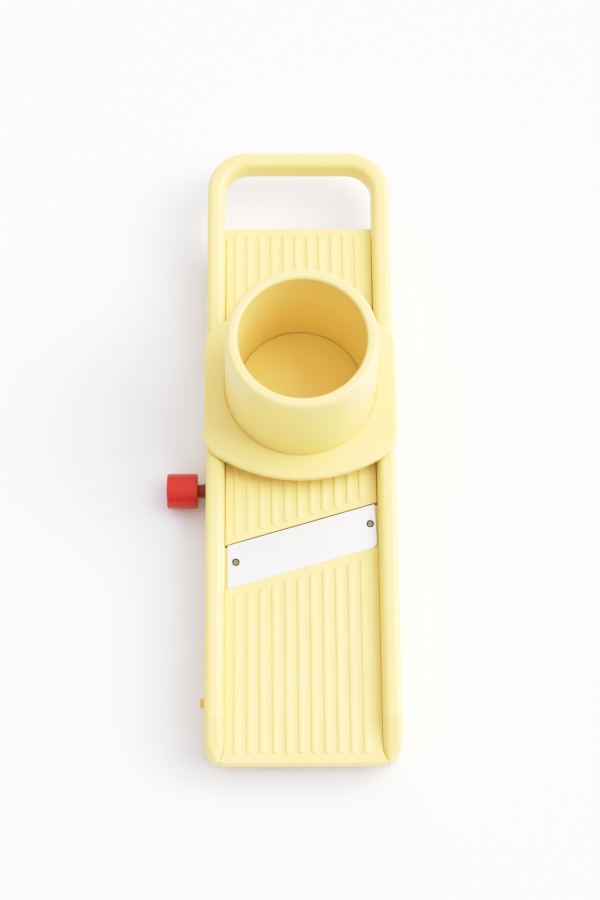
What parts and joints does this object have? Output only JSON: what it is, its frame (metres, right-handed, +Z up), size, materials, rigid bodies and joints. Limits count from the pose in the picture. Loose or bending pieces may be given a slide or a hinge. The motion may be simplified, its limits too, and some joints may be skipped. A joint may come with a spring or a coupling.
{
  "type": "mandoline slicer",
  "caption": "Hand mandoline with ribbed hinged run-up plate, slanted steel blade, side thickness knob driving cams, loop handle and a cup-shaped sliding hand guard.",
  "frame": {"origin": "middle of the body's footprint, on the flat underside of its centre tie, which lies on the table", "axes": "+Z up, +Y along the body towards the handle loop, +X to the right seen from the nose, so the knob is on -X"},
  "size_m": [0.1133, 0.3192, 0.0888],
  "materials": {
    "body_plastic": "pale butter-yellow moulding, soft satin",
    "guard_plastic": "pale butter-yellow moulding, slightly glossier than the body",
    "blade_steel": "bright fine-ground stainless steel",
    "fastener_steel": "plain turned stainless steel",
    "spring_steel": "drawn spring wire and strip",
    "shaft_steel": "ground steel rod",
    "bearing_plastic": "natural white low-friction plastic",
    "knob_plastic": "bright red moulding",
    "collar_plastic": "dark red moulding"
  },
  "bodies": {
    "body": {"frame": "body_plastic", "landing_plate": "body_plastic", "landing_plate_pin": "body_plastic", "blade": "blade_steel", "blade_screws": "fastener_steel", "blade_nuts": "fastener_steel", "run_up_hinge_pin": "fastener_steel", "hinge_springs": "spring_steel", "shaft_bush_left": "bearing_plastic", "shaft_bush_right": "bearing_plastic", "click_spring": "spring_steel"},
    "run_up": {"run_up_plate": "body_plastic"},
    "adjuster": {"adjust_shaft": "shaft_steel", "cam_left": "bearing_plastic", "cam_right": "bearing_plastic", "cam_pins": "fastener_steel", "click_wheel": "bearing_plastic", "shaft_clip": "spring_steel", "thickness_knob": "knob_plastic", "knob_collar": "collar_plastic", "knob_screw": "fastener_steel"},
    "guard": {"guard_shell": "guard_plastic", "guard_floor": "guard_plastic", "guard_pins": "fastener_steel"}
  },
  "joints": [
    {"name": "knob_turn", "type": "hinge", "parent": "body", "child": "adjuster", "pos_m": [0, -0.0205, 0.01], "axis": [1, 0, 0], "range_deg": [0, 240]},
    {"name": "run_up_hinge", "type": "hinge", "parent": "body", "child": "run_up", "pos_m": [0, 0.114, 0.014], "axis": [1, 0, 0], "range_deg": [0, 1.6]},
    {"name": "guard_slide", "type": "slide", "parent": "body", "child": "guard", "axis": [0, 1, 0], "range_m": [-0.114, 0.045]}
  ],
  "couplings": [
    {"joint": "run_up_hinge", "follows": "knob_turn", "ratio": 0.0065682}
  ]
}
